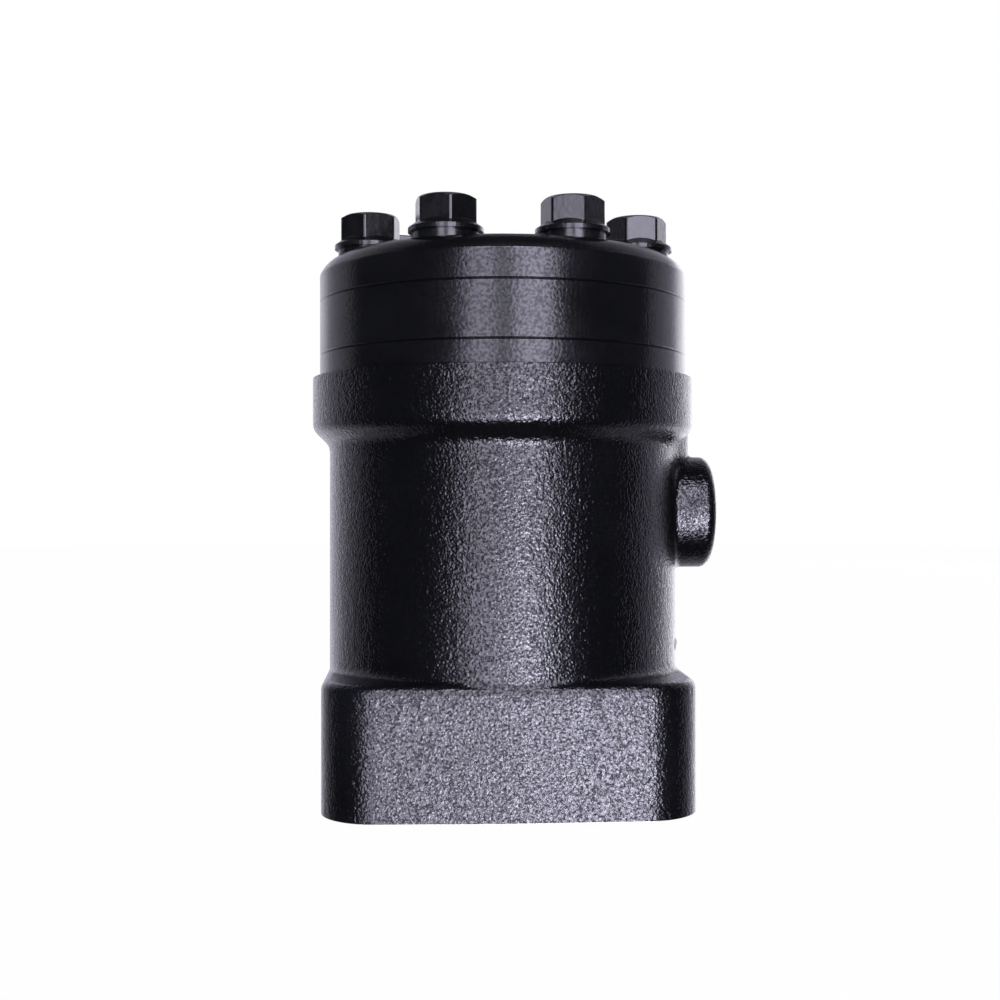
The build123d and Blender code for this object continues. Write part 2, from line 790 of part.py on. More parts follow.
with BuildPart() as retaining_ring:
    turned_ring(
        retaining_ring_z,
        ring_seat_radius + running_gap,
        race_outer_radius,
        retaining_ring_height,
    )
finish(retaining_ring, "retaining_ring")

leaf_half = ring_seat_radius - leaf_end_gap
leaf_pitch = leaf_thickness + leaf_gap
leaf_base = Plane.XY.offset(slot_z - leaf_height / 2)
with BuildPart() as flat_springs:
    with BuildSketch(leaf_base):
        with GridLocations(leaf_pitch, 0, 2, 1):
            Rectangle(leaf_thickness, 2 * leaf_half)
    extrude(amount=leaf_height)
finish(flat_springs, "flat_springs")

with BuildPart() as curved_springs:
    bow = slot_width / 2 - 3 * leaf_pitch - leaf_side_gap
    for side in (-1, 1):
        for layer in (1, 2):
            near = layer * leaf_pitch + leaf_gap / 2
            far = near + leaf_thickness
            with BuildSketch(leaf_base):
                with BuildLine():
                    for x in (near, far):
                        ThreePointArc(
                            (side * (x + bow), -leaf_half),
                            (side * x, 0),
                            (side * (x + bow), leaf_half),
                        )
                    for y in (-leaf_half, leaf_half):
                        Line((side * (near + bow), y), (side * (far + bow), y))
                make_face()
            extrude(amount=leaf_height)
finish(curved_springs, "curved_springs")

# ================================================================ thrust bearing at the valve's lower end
for race_name, race_z in (("bearing_outer_race", shoulder_z), ("bearing_inner_race", inner_race_z)):
    with BuildPart() as race:
        turned_ring(race_z, race_inner_radius, race_outer_radius, race_thickness)
    finish(race, race_name)

needle_circle = (race_inner_radius + race_outer_radius) / 2
with BuildPart() as bearing_needles:
    with Locations((0, 0, needle_z)):
        with PolarLocations(needle_circle, needle_count):
            Cylinder(needle_radius, needle_length, rotation=(0, 90, 0))
finish(bearing_needles, "bearing_needles")

with BuildPart() as bearing_cage:
    with BuildSketch(Plane.XY.offset(needle_z - cage_thickness / 2)):
        Circle(race_outer_radius)
        Circle(race_inner_radius, mode=Mode.SUBTRACT)
        with PolarLocations(needle_circle, needle_count):
            Rectangle(
                needle_length + 2 * needle_gap,
                2 * (needle_radius + needle_gap),
                mode=Mode.SUBTRACT,
            )
    extrude(amount=cage_thickness)
finish(bearing_cage, "bearing_cage")

# ================================================================ seals at the column end
with BuildPart() as slide_ring:
    turned_ring(seal_groove_z, neck_radius, neck_radius + slide_ring_wall, seal_groove_width)
finish(slide_ring, "slide_ring")

with BuildPart() as shaft_oring:
    shaft_oring_inner = neck_radius + slide_ring_wall
    with BuildSketch(Plane.XZ):
        with Locations(
            ((shaft_oring_inner + seal_groove_radius) / 2, seal_groove_z + seal_groove_width / 2)
        ):
            RectangleRounded(
                seal_groove_radius - shaft_oring_inner,
                seal_groove_width - 2 * oring_side_gap,
                oring_corner_radius,
            )
    revolve(axis=Axis.Z)
finish(shaft_oring, "shaft_oring")

with BuildPart() as dust_seal:
    with BuildSketch(Plane.XZ):
        with BuildLine():
            Polyline(
                (dust_seal_radius, dust_seal_recess),
                (dust_seal_radius, dust_pocket_top),
                (neck_radius + dust_lip_wall, dust_pocket_top),
                (neck_radius + dust_lip_wall, dust_seal_recess + dust_lip_wall),
                (neck_radius, dust_seal_recess + dust_lip_wall),
                (neck_radius + dust_lip_wall / 2, dust_seal_recess),
                close=True,
            )
        make_face()
    revolve(axis=Axis.Z)
finish(dust_seal, "dust_seal")
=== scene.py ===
# %% [markdown]
# # An orbital steering unit in black paint
# The solids of the unit come in as the frame: 28 CAD nodes on 8 bodies, in metres, with the middle
# of the mounting face at the origin. The column enters from below, the four main ports look to +Y,
# and the side port boss points to +X. This script lights the unit, finishes every node with a
# material and adds the small shapes that the casting process and the thread taps leave behind.

import json
from math import cos, pi, radians, sin, tan

import bmesh
import bpy
from mathutils import Matrix, Vector


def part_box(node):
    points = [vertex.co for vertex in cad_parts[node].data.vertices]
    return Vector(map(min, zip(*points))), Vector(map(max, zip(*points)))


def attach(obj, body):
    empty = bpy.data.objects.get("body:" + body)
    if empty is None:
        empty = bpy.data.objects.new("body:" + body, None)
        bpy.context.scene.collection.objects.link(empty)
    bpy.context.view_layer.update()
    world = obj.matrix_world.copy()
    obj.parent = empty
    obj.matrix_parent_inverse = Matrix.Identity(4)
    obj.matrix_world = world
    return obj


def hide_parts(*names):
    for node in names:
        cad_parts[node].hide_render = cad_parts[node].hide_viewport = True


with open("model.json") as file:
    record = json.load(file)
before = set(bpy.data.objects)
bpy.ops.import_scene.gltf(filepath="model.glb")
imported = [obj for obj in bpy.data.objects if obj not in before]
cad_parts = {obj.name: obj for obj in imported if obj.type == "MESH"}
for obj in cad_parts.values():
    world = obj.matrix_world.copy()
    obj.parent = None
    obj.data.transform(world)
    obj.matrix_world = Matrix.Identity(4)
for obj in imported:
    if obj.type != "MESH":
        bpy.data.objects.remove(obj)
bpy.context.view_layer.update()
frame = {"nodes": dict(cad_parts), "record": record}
MM = 0.001


# %% [markdown]
# ## The camera
# The unit stands on a table at about eye height of the lens, so its vertical edges stay upright
# and its rims bow away from eye level. A lens of about 50 mm from a third of a metre away gives
# that strong perspective. The stand is turned by three degrees, which the camera does here
# instead. The Standard view transform shows paper white and paint black as they are, without a
# film's curve.

# %% Camera
STAND_TURN = radians(3.0)
CAMERA_DISTANCE = 342.2 * MM
CAMERA_HEIGHT = 70.4 * MM
LENS_MM, SENSOR_MM = 49.53, 36.0
LENS_SHIFT = -0.0025

camera_data = bpy.data.cameras.new("product_camera")
camera_data.lens = LENS_MM
camera_data.sensor_width = SENSOR_MM
camera_data.shift_x = LENS_SHIFT
camera_data.clip_start = 0.01
camera = bpy.data.objects.new("product_camera", camera_data)
camera.location = (
    -CAMERA_DISTANCE * sin(STAND_TURN),
    -CAMERA_DISTANCE * cos(STAND_TURN),
    CAMERA_HEIGHT,
)
camera.rotation_euler = (pi / 2, 0, -STAND_TURN)
bpy.context.scene.collection.objects.link(camera)
bpy.context.scene.camera = camera
bpy.context.scene.view_settings.view_transform = "Standard"
print("camera", round(CAMERA_DISTANCE / MM), "mm from the axis,", LENS_MM, "mm lens")

# %% [markdown]
# ## Nodes and colours
# A material is a small graph of nodes. Making each node by hand takes five lines, so one function
# adds a node with its settings and its links. Colours are written as sRGB hex values, as a paint
# card gives them, and turned to the linear numbers that the renderer works with.


# %% Colours and nodes
def colour(hex_value):
    """Linear RGBA from an sRGB hex value."""
    channels = [int(hex_value[i : i + 2], 16) / 255 for i in (0, 2, 4)]
    return [c / 12.92 if c <= 0.04045 else ((c + 0.055) / 1.055) ** 2.4 for c in channels] + [1.0]


def add_node(tree, kind, links=None, **settings):
    """Adds a node, sets its sockets and properties by name, and links sockets from other nodes."""
    made = tree.nodes.new(kind)
    for name, value in settings.items():
        if hasattr(made, name):
            setattr(made, name, value)
        else:
            made.inputs[name.replace("_", " ").title()].default_value = value
    for name, source in (links or {}).items():
        tree.links.new(source, made.inputs[name])
    return made


# %% An empty material
def new_material(name):
    """An empty material with a surface shader on its output."""
    material = bpy.data.materials.new(name)
    material.use_nodes = True
    tree = material.node_tree
    tree.nodes.clear()
    shader = add_node(tree, "ShaderNodeBsdfPrincipled")
    add_node(tree, "ShaderNodeOutputMaterial", {"Surface": shader.outputs[0]})
    place = add_node(tree, "ShaderNodeTexCoord").outputs["Object"]
    return material, tree, shader, place


# %% Patterns, blends and relief
def spots_per_metre(size_mm):
    """Scale of a noise or cell pattern whose features are about this many millimetres wide."""
    return 1 / (size_mm * MM)


def fade(tree, value, low, high, to_low=0.0, to_high=1.0):
    """Maps a value from one span to another, held at both ends."""
    return add_node(
        tree,
        "ShaderNodeMapRange",
        {"Value": value},
        clamp=True,
        From_Min=low,
        From_Max=high,
        To_Min=to_low,
        To_Max=to_high,
    ).outputs["Result"]


def blend_colours(tree, share, first, second):
    """Colour between two, by a share from 0 to 1. Each is a hex value or a colour socket."""
    mix = add_node(tree, "ShaderNodeMix", data_type="RGBA")
    tree.links.new(share, mix.inputs[0])
    for socket, value in ((mix.inputs[6], first), (mix.inputs[7], second)):
        if isinstance(value, str):
            socket.default_value = colour(value)
        else:
            tree.links.new(value, socket)
    return mix.outputs[2]


def relief(tree, shader, *layers):
    """Chains bump nodes. Each layer is a height socket and its depth in millimetres."""
    normal = None
    for height, depth in layers:
        distance = depth * MM
        bump = add_node(tree, "ShaderNodeBump", {"Height": height}, Strength=1.0, Distance=distance)
        if normal:
            tree.links.new(normal, bump.inputs["Normal"])
        normal = bump.outputs["Normal"]
    tree.links.new(normal, shader.inputs["Normal"])


def noise_field(tree, place, size_mm, detail=2.0, roughness=0.5):
    """Cloudy noise from 0 to 1 with features of a size in millimetres."""
    return add_node(
        tree,
        "ShaderNodeTexNoise",
        {"Vector": place},
        Scale=spots_per_metre(size_mm),
        Detail=detail,
        Roughness=roughness,
    ).outputs[0]


# %% [markdown]
# ## Black paint over a sand casting
# The housing is grey iron cast in sand, and one coat of black alkyd enamel is sprayed over it. The
# faces that were machined after casting, and plugged or masked while the unit was sprayed, are
# bare grey iron: the ports with their spotfaces, and the mounting face. One material serves the
# whole casting, because it is one piece, and a mask worked out from the place on it says where the
# iron is bare. Painting the mask by hand would do as well, but the ports' own sizes are exact.


# %% Arithmetic with sockets
def calculate(tree, operation, first, second=None):
    """One step of arithmetic on sockets or plain numbers."""
    step = add_node(tree, "ShaderNodeMath", operation=operation)
    for index, value in enumerate((first, second)):
        if value is None:
            continue
        if isinstance(value, (int, float)):
            step.inputs[index].default_value = value
        else:
            tree.links.new(value, step.inputs[index])
    return step.outputs[0]


def distance_from(tree, first, second):
    """Length of the sum of two offsets at right angles."""
    squares = [calculate(tree, "MULTIPLY", value, value) for value in (first, second)]
    return calculate(tree, "SQRT", calculate(tree, "ADD", *squares))


# %% Where the iron is bare
# Radii, depths and places of the machined faces, in millimetres.
PORT_X_MM, PORT_Z_MM, PORT_MIDDLE_Z_MM = 22.0, 16.0, 50.0
SPOTFACE_MM, SPOTFACE_Y_MM = 14.62, 45.9
TAPPED_BORE_MM, PORT_FLOOR_MM = 10.4, 31.0
SIDE_SPOTFACE_MM, SIDE_PORT_FLOOR_MM, SIDE_PORT_Z_MM = 10.02, 36.0, 67.405
MOUNTING_FACE_MM = 0.05


def bare_iron_mask(tree, place):
    """1 on the machined faces of the housing and 0 on its skin, and the height above its foot."""
    split = add_node(tree, "ShaderNodeSeparateXYZ", {"Vector": place})
    x, y, z = split.outputs
    from_port_x = calculate(tree, "SUBTRACT", calculate(tree, "ABSOLUTE", x), PORT_X_MM * MM)
    above_middle = calculate(tree, "SUBTRACT", z, PORT_MIDDLE_Z_MM * MM)
    off_middle = calculate(tree, "ABSOLUTE", above_middle)
    from_port_z = calculate(tree, "SUBTRACT", off_middle, PORT_Z_MM * MM)
    from_port = distance_from(tree, from_port_x, from_port_z)
    in_spotface = calculate(tree, "LESS_THAN", from_port, SPOTFACE_MM * MM)
    in_bore = calculate(tree, "LESS_THAN", from_port, TAPPED_BORE_MM * MM)
    at_face = calculate(tree, "GREATER_THAN", y, SPOTFACE_Y_MM * MM)
    deep_y = calculate(tree, "GREATER_THAN", y, PORT_FLOOR_MM * MM)
    above_side_port = calculate(tree, "SUBTRACT", z, SIDE_PORT_Z_MM * MM)
    from_side_port = distance_from(tree, y, above_side_port)
    in_side_port = calculate(tree, "LESS_THAN", from_side_port, SIDE_SPOTFACE_MM * MM)
    deep_x = calculate(tree, "GREATER_THAN", x, SIDE_PORT_FLOOR_MM * MM)
    below_base = calculate(tree, "LESS_THAN", z, MOUNTING_FACE_MM * MM)
    masks = (
        calculate(tree, "MULTIPLY", in_spotface, at_face),
        calculate(tree, "MULTIPLY", in_bore, deep_y),
        calculate(tree, "MULTIPLY", in_side_port, deep_x),
        below_base,
    )
    bare = masks[0]
    for mask in masks[1:]:
        bare = calculate(tree, "MAXIMUM", bare, mask)
    return bare, z


# %% [markdown]
# ## The skin of the casting
# The skin keeps the grain of the sand, and the enamel rounds the grains off, so the gloss breaks
# up into small soft lumps. The relief has four widths all over: slow waves, lumps, grains and a
# few deeper pits. The square flange has some sharper sand on top, because its pattern was rammed
# with coarser sand. Enamel has an IOR of about 1.55 and a roughness near 0.2. The hollows between
# the grains are a little rougher. Their reflection takes a darker tint, which is painted shade for
# the shadow between the grains. More roughness instead would spread the lights over the whole
# body and lose the black.

# %% Sizes in the skin
# Width and depth of each layer of relief, in millimetres. Foundry sand is about a quarter of a
# millimetre across, which is too fine to show, so its grains are drawn at twice that.
WAVE_MM, WAVE_DEPTH_MM = 8.0, 0.08
LUMP_MM, LUMP_DEPTH_MM = 1.6, 0.10
GRAIN_MM, GRAIN_DEPTH_MM = 0.58, 0.17
FLANGE_SAND_MM, FLANGE_SAND_DEPTH_MM = 0.5, 0.06
PIT_MM, PIT_DEPTH_MM = 8.0, 0.10
HOLLOW_MM, DUST_MM = 0.6, 26.0
FLANGE_TOP_MM, FLANGE_EDGE_MM = 29.0, 2.0
ENAMEL_IOR = 1.55
GRAIN_ROUGHNESS, HOLLOW_ROUGHNESS, FLANGE_ROUGHER, IRON_ROUGHNESS = 0.14, 0.24, 0.03, 0.38
# The lilac tint is painted light: the colour of the studio lamps, put into the enamel's reflection.
# The hollow tint is painted shade.
PAINTED_LAMP_TINT, HOLLOW_PAINTED_SHADE_TINT = "ECE8FF", "7C7A8C"


# %% Cast iron, sprayed
def enamel_on_casting():
    """Black enamel with the grain of sand under it, and bare iron where the mask says so."""
    material, tree, shader, place = new_material("black_enamel_on_sand_casting")
    bare, height = bare_iron_mask(tree, place)
    painted = calculate(tree, "SUBTRACT", 1.0, bare)
    flange_edge = (FLANGE_TOP_MM - FLANGE_EDGE_MM) * MM
    on_flange = fade(tree, height, flange_edge, FLANGE_TOP_MM * MM, 1.0, 0.0)

    dust = fade(tree, noise_field(tree, place, DUST_MM, detail=4.0, roughness=0.6), 0.42, 0.72)
    paint_tone = blend_colours(tree, dust, "0B0C0F", "111217")
    tone = blend_colours(tree, bare, paint_tone, "8C8C8B")
    tree.links.new(tone, shader.inputs["Base Color"])
    tree.links.new(bare, shader.inputs["Metallic"])
    shader.inputs["IOR"].default_value = ENAMEL_IOR

    # Painted shade: where the hollows pattern is high, the reflection takes a darker tint that
    # stands for the shadow between the grains.
    hollows = noise_field(tree, place, HOLLOW_MM, detail=2.0, roughness=0.6)
    painted_hollow_shade = calculate(tree, "MULTIPLY", fade(tree, hollows, 0.44, 0.6), painted)
    # Painted light: the lamps' lilac is put into the enamel's reflection.
    sheen = blend_colours(tree, painted_hollow_shade, PAINTED_LAMP_TINT, HOLLOW_PAINTED_SHADE_TINT)
    tree.links.new(sheen, shader.inputs["Specular Tint"])
    roughness = fade(tree, hollows, 0.42, 0.62, GRAIN_ROUGHNESS, HOLLOW_ROUGHNESS)
    rougher = calculate(tree, "MULTIPLY", on_flange, FLANGE_ROUGHER)
    roughness = calculate(tree, "ADD", roughness, rougher)
    iron_roughness = calculate(tree, "MULTIPLY", bare, IRON_ROUGHNESS)
    roughness = calculate(tree, "MAXIMUM", roughness, iron_roughness)
    tree.links.new(roughness, shader.inputs["Roughness"])

    waves = noise_field(tree, place, WAVE_MM, detail=1.0)
    lumps = noise_field(tree, place, LUMP_MM, detail=1.0, roughness=0.5)
    grains = noise_field(tree, place, GRAIN_MM, detail=1.5, roughness=0.5)
    sand = noise_field(tree, place, FLANGE_SAND_MM, detail=2.0, roughness=0.6)
    pit_scale = spots_per_metre(PIT_MM)
    cells = add_node(
        tree, "ShaderNodeTexVoronoi", {"Vector": place}, Scale=pit_scale, Randomness=1.0
    ).outputs["Distance"]
    pits = fade(tree, cells, 0.02, 0.10)
    painted_flange = calculate(tree, "MULTIPLY", on_flange, painted)
    relief(
        tree,
        shader,
        (calculate(tree, "MULTIPLY", waves, painted), WAVE_DEPTH_MM),
        (calculate(tree, "MULTIPLY", lumps, painted), LUMP_DEPTH_MM),
        (calculate(tree, "MULTIPLY", grains, painted), GRAIN_DEPTH_MM),
        (calculate(tree, "MULTIPLY", sand, painted_flange), FLANGE_SAND_DEPTH_MM),
        (calculate(tree, "MULTIPLY", pits, painted), PIT_DEPTH_MM),
    )
    return material


# %% [markdown]
# ## Black paint over turned steel
# The plate, the gerotor ring and the cover are ground flat and turned on the rim before they are
# painted. Turning leaves fine rings round the rim, so the pattern of their lines is stretched
# across and stays narrow along the height. The lines are drawn half a millimetre apart, coarser
# than a real feed, so that they show. The coat flows out smoother than on the casting, into an
# orange peel of soft dimples. It is the same enamel.

# %% Turned steel, sprayed
PEEL_MM, PEEL_DEPTH_MM = 0.66, 0.05
TURNING_MM, TURNING_DEPTH_MM = 0.5, 0.002
DRIFT_MM = 15.0
# Painted shade: the darker tint that the reflection takes over part of the orange peel.
DIMPLE_PAINTED_SHADE_TINT = "AEAAC0"


def enamel_on_turned_steel(name, roughness):
    """Black enamel over fine turned lines, with an orange peel."""
    material, tree, shader, place = new_material(name)
    drift = noise_field(tree, place, DRIFT_MM, detail=3.0)
    tone = blend_colours(tree, fade(tree, drift, 0.4, 0.7), "0B0C0F", "101115")
    tree.links.new(tone, shader.inputs["Base Color"])
    change = fade(tree, drift, 0.3, 0.7, -0.02, 0.04)
    tree.links.new(calculate(tree, "ADD", change, roughness), shader.inputs["Roughness"])
    shader.inputs["IOR"].default_value = ENAMEL_IOR

    peel = noise_field(tree, place, PEEL_MM, detail=1.5)
    # Painted shade: over part of the peel the reflection takes a darker tint.
    painted_dimple_shade = fade(tree, peel, 0.42, 0.62)
    # Painted light: the lamps' lilac is put into the enamel's reflection.
    sheen = blend_colours(tree, painted_dimple_shade, PAINTED_LAMP_TINT, DIMPLE_PAINTED_SHADE_TINT)
    tree.links.new(sheen, shader.inputs["Specular Tint"])
    stretched = add_node(tree, "ShaderNodeMapping", {"Vector": place}, vector_type="POINT")
    stretched.inputs["Scale"].default_value = (0.02, 0.02, 1.0)
    lines = noise_field(tree, stretched.outputs[0], TURNING_MM, detail=2.0, roughness=0.7)
    relief(tree, shader, (peel, PEEL_DEPTH_MM), (lines, TURNING_DEPTH_MM))
    return material


# %% [markdown]
# ## Black paint on screws and washers
# The screws were fitted before the unit was sprayed, so heads and washers wear the same enamel. On
# these small smooth faces it flows out best, so its peel is wider and flatter than on the plates.

# %% Painted fasteners
FASTENER_PEEL_MM, FASTENER_PEEL_DEPTH_MM = 1.1, 0.03
FASTENER_DRIFT_MM = 5.0


def enamel_on_fasteners(name, roughness):
    """Black enamel on forged screws and pressed washers."""
    material, tree, shader, place = new_material(name)
    drift = noise_field(tree, place, FASTENER_DRIFT_MM, detail=2.0)
    tone = blend_colours(tree, fade(tree, drift, 0.4, 0.7), "0E0F13", "14151A")
    tree.links.new(tone, shader.inputs["Base Color"])
    peel = noise_field(tree, place, FASTENER_PEEL_MM, detail=1.5)
    uneven = fade(tree, peel, 0.3, 0.7, roughness - 0.03, roughness + 0.05)
    tree.links.new(uneven, shader.inputs["Roughness"])
    shader.inputs["IOR"].default_value = ENAMEL_IOR
    # Painted light: the lamps' lilac is put into the enamel's reflection.
    shader.inputs["Specular Tint"].default_value = colour(PAINTED_LAMP_TINT)
    relief(tree, shader, (peel, FASTENER_PEEL_DEPTH_MM))
    return material


# %% [markdown]
# ## Steels inside the valve and the meter
# Ground and lapped steel is bright, with fine marks left by the wheel, which are drawn coarser
# than life so that they show. The sintered rotor and shaft are greyer and duller, spring leaves
# are blued, and the bearing cage is pressed sheet. All are bare metal under a film of oil, so
# metallic is 1 and only the colour, roughness and marks differ.

# %% Bare steels
STAIN_MM = 9.0


def bare_steel(name, light, dark, roughness, mark_mm, mark_depth_mm, rings=True):
    """Bare steel with fine marks, in rings round the axis or else in lines along it."""
    material, tree, shader, place = new_material(name)
    stains = fade(tree, noise_field(tree, place, STAIN_MM, detail=4.0), 0.35, 0.7)
    tree.links.new(blend_colours(tree, stains, light, dark), shader.inputs["Base Color"])
    stretched = add_node(tree, "ShaderNodeMapping", {"Vector": place}, vector_type="POINT")
    stretched.inputs["Scale"].default_value = (0.05, 0.05, 1.0) if rings else (1.0, 1.0, 0.05)
    marks = noise_field(tree, stretched.outputs[0], mark_mm, detail=3.0, roughness=0.7)
    uneven = fade(tree, marks, 0.3, 0.7, roughness - 0.05, roughness + 0.07)
    tree.links.new(uneven, shader.inputs["Roughness"])
    shader.inputs["Metallic"].default_value = 1.0
    relief(tree, shader, (marks, mark_depth_mm))
    return material


# %% [markdown]
# ## Rubber and filled PTFE
# The O-rings and the dust seal are black nitrile rubber, matt and faintly dusty, with an IOR of
# 1.52. The slide ring is bronze-filled PTFE, a dull brown plastic full of fine specks.

# %% Seals
BLOOM_MM, RUBBER_GRAIN_MM, RUBBER_GRAIN_DEPTH_MM = 3.0, 0.5, 0.01
SPECK_MM, SPECK_DEPTH_MM = 0.4, 0.008


def nitrile_rubber():
    """Matt black rubber with a pale bloom."""
    material, tree, shader, place = new_material("nitrile_rubber")
    bloom = noise_field(tree, place, BLOOM_MM, detail=4.0, roughness=0.6)
    tone = blend_colours(tree, fade(tree, bloom, 0.45, 0.75), "1B1B1C", "2B2B2C")
    tree.links.new(tone, shader.inputs["Base Color"])
    tree.links.new(fade(tree, bloom, 0.3, 0.7, 0.55, 0.7), shader.inputs["Roughness"])
    shader.inputs["IOR"].default_value = 1.52
    relief(tree, shader, (noise_field(tree, place, RUBBER_GRAIN_MM), RUBBER_GRAIN_DEPTH_MM))
    return material


def bronze_filled_ptfe():
    """Dull brown plastic full of bronze specks."""
    material, tree, shader, place = new_material("bronze_filled_ptfe")
    specks = noise_field(tree, place, SPECK_MM, detail=1.0)
    tone = blend_colours(tree, fade(tree, specks, 0.5, 0.7), "6B5A44", "9A8462")
    tree.links.new(tone, shader.inputs["Base Color"])
    shader.inputs["Roughness"].default_value = 0.5
    shader.inputs["IOR"].default_value = 1.35
    relief(tree, shader, (specks, SPECK_DEPTH_MM))
    return material


# %% [markdown]
# ## A finish for every node
# The record names a material slot for each node, so one table from slots to materials finishes
# them all. The nodes' meshes stay as they are, and only the material in their slot is changed.

# %% A finish for every node
finishes = {
    "painted_casting": enamel_on_casting(),
    "painted_steel": enamel_on_turned_steel("black_enamel_on_turned_steel", 0.21),
    "painted_screws": enamel_on_fasteners("black_enamel_on_screws", 0.22),
    "painted_washers": enamel_on_fasteners("black_enamel_on_washers", 0.2),
    "seal_rubber": nitrile_rubber(),
    "ptfe": bronze_filled_ptfe(),
    "spring_steel": bare_steel("blued_spring_steel", "6F7480", "4C4F5C", 0.28, 0.4, 0.002),
    "ground_steel": bare_steel("ground_bearing_steel", "C9CACC", "B2B3B6", 0.2, 0.3, 0.001),
    "cage_steel": bare_steel("pressed_sheet_steel", "A9A9A7", "8E8E8B", 0.34, 0.8, 0.004, False),
    "sintered_steel": bare_steel("sintered_steel", "8F9093", "77787B", 0.36, 0.5, 0.003),
}
for subpart in frame["record"]["subparts"]:
    node_object = frame["nodes"][subpart["node"]]
    node_object.data.materials.clear()
    node_object.data.materials.append(finishes[subpart["material_slot"]])

# %% [markdown]
# ## Threads in the ports
# The five ports are tapped: 1.8 mm pitch in the four large ones and 1.3 mm in the side port. A
# thread is one small triangle carried round the port's axis while it climbs. The spin operator
# does just that: it turns a profile in steps and shifts it a little at each step, which makes a
# helix. A Screw modifier would do the same on a live piece. The ridge's foot lies in the wall of
# the bore, so that no gap shows between the two.


# %% A bmesh becomes a piece
def piece(name, shape, material, body):
    """Finishes a bmesh as a piece with one material that rides on a body."""
    mesh = bpy.data.meshes.new(name)
    shape.to_mesh(mesh)
    shape.free()
    mesh.materials.append(material)
    for polygon in mesh.polygons:
        polygon.use_smooth = False
    made = bpy.data.objects.new(name, mesh)
    bpy.context.scene.collection.objects.link(made)
    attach(made, body)
    print(name, len(mesh.polygons), "faces")
    return made


# %% Helical thread ridges
STEPS_A_TURN = 36
DEPTH_IN_PITCHES, CREST_IN_PITCHES, TOP_IN_PITCHES = 0.42, 0.45, 0.9
FOOT_IN_WALL_MM = 0.1
tapped_iron = bare_steel("tapped_grey_iron", "8F8F8D", "767674", 0.36, 0.4, 0.002)


def thread_ridge(name, core_radius, pitch, low, high, turn_to_axis):
    """Thread from low to high along a bore's axis, in millimetres. turn_to_axis brings +Z to it."""
    foot_radius = core_radius + FOOT_IN_WALL_MM
    profile = (
        (foot_radius, 0, low),
        (core_radius - DEPTH_IN_PITCHES * pitch, 0, low + CREST_IN_PITCHES * pitch),
        (foot_radius, 0, low + TOP_IN_PITCHES * pitch),
    )
    shape = bmesh.new()
    corners = [shape.verts.new(Vector(corner) * MM) for corner in profile]
    loop = [shape.edges.new((corners[i], corners[(i + 1) % 3])) for i in range(3)]
    turns = (high - low - pitch) / pitch
    steps = round(turns * STEPS_A_TURN)
    bmesh.ops.spin(
        shape,
        geom=corners + loop,
        axis=(0, 0, 1),
        cent=(0, 0, 0),
        dvec=(0, 0, pitch * MM / STEPS_A_TURN),
        angle=2 * pi * steps / STEPS_A_TURN,
        steps=steps,
    )
    bmesh.ops.holes_fill(shape, edges=[e for e in shape.edges if e.is_boundary], sides=3)
    bmesh.ops.recalc_face_normals(shape, faces=shape.faces)
    bmesh.ops.transform(shape, matrix=turn_to_axis, verts=shape.verts)
    piece(name, shape, tapped_iron, "housing")


# %% Threads of the four main ports and the side port
# Core radius, pitch, the bottom of the spotface, and where the thread ends and starts below it.
MAIN_CORE_MM, MAIN_PITCH_MM, MAIN_FACE_MM = 9.32, 1.814, 46.2
MAIN_END_MM, MAIN_START_MM = 13.5, 0.6
SIDE_CORE_MM, SIDE_PITCH_MM, SIDE_FACE_MM = 5.72, 1.337, 50.5
SIDE_END_MM, SIDE_START_MM = 11.5, 0.5

for name, x, z in (
    ("thread_pressure", PORT_X_MM, PORT_MIDDLE_Z_MM + PORT_Z_MM),
    ("thread_right", -PORT_X_MM, PORT_MIDDLE_Z_MM + PORT_Z_MM),
    ("thread_left", PORT_X_MM, PORT_MIDDLE_Z_MM - PORT_Z_MM),
    ("thread_tank", -PORT_X_MM, PORT_MIDDLE_Z_MM - PORT_Z_MM),
):
    port_axis = Matrix.Translation(Vector((x, 0, z)) * MM)
    thread_ridge(
        name,
        MAIN_CORE_MM,
        MAIN_PITCH_MM,
        MAIN_FACE_MM - MAIN_END_MM,
        MAIN_FACE_MM - MAIN_START_MM,
        port_axis @ Matrix.Rotation(-pi / 2, 4, "X"),
    )
side_port_axis = Matrix.Translation(Vector((0, 0, SIDE_PORT_Z_MM)) * MM)
thread_ridge(
    "thread_sensing",
    SIDE_CORE_MM,
    SIDE_PITCH_MM,
    SIDE_FACE_MM - SIDE_END_MM,
    SIDE_FACE_MM - SIDE_START_MM,
    side_port_axis @ Matrix.Rotation(pi / 2, 4, "Y"),
)

# %% [markdown]
# ## Screws with softened edges
# Forging and paint leave the edges of a hex round. On a black screw those edges are most of what
# the eye reads, because each one catches a thin line of light. The CAD screw has the right shape
# with sharp edges, so a copy of it is merged, its flat faces are joined, and the edges of its head
# are bevelled. A Bevel modifier would round its shank and washer face as well.

# %% Edges of the screw heads
HEX_EDGE_MM, RIM_EDGE_MM = 0.45, 0.18
ABOVE_WASHER_MM = 0.5
LOWEST_HEAD_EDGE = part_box("screw_washers")[1][2] + ABOVE_WASHER_MM * MM
ROUNDED_FROM, ROUNDED_TO = radians(20), radians(120)
UPRIGHT = 0.9


def head_edges(shape, upright):
    """Sharp edges above the washers: those of the hex that stand upright, or all the others."""
    chosen = []
    for edge in shape.edges:
        if len(edge.link_faces) != 2 or min(v.co.z for v in edge.verts) < LOWEST_HEAD_EDGE:
            continue
        along = (edge.verts[0].co - edge.verts[1].co).normalized()
        sharp = ROUNDED_FROM < edge.calc_face_angle() < ROUNDED_TO
        if sharp and (abs(along.z) > UPRIGHT) == upright:
            chosen.append(edge)
    return chosen


# %% Rounded copies of the screws
SAME_POINT_MM, FLAT_ANGLE = 0.002, radians(1.0)


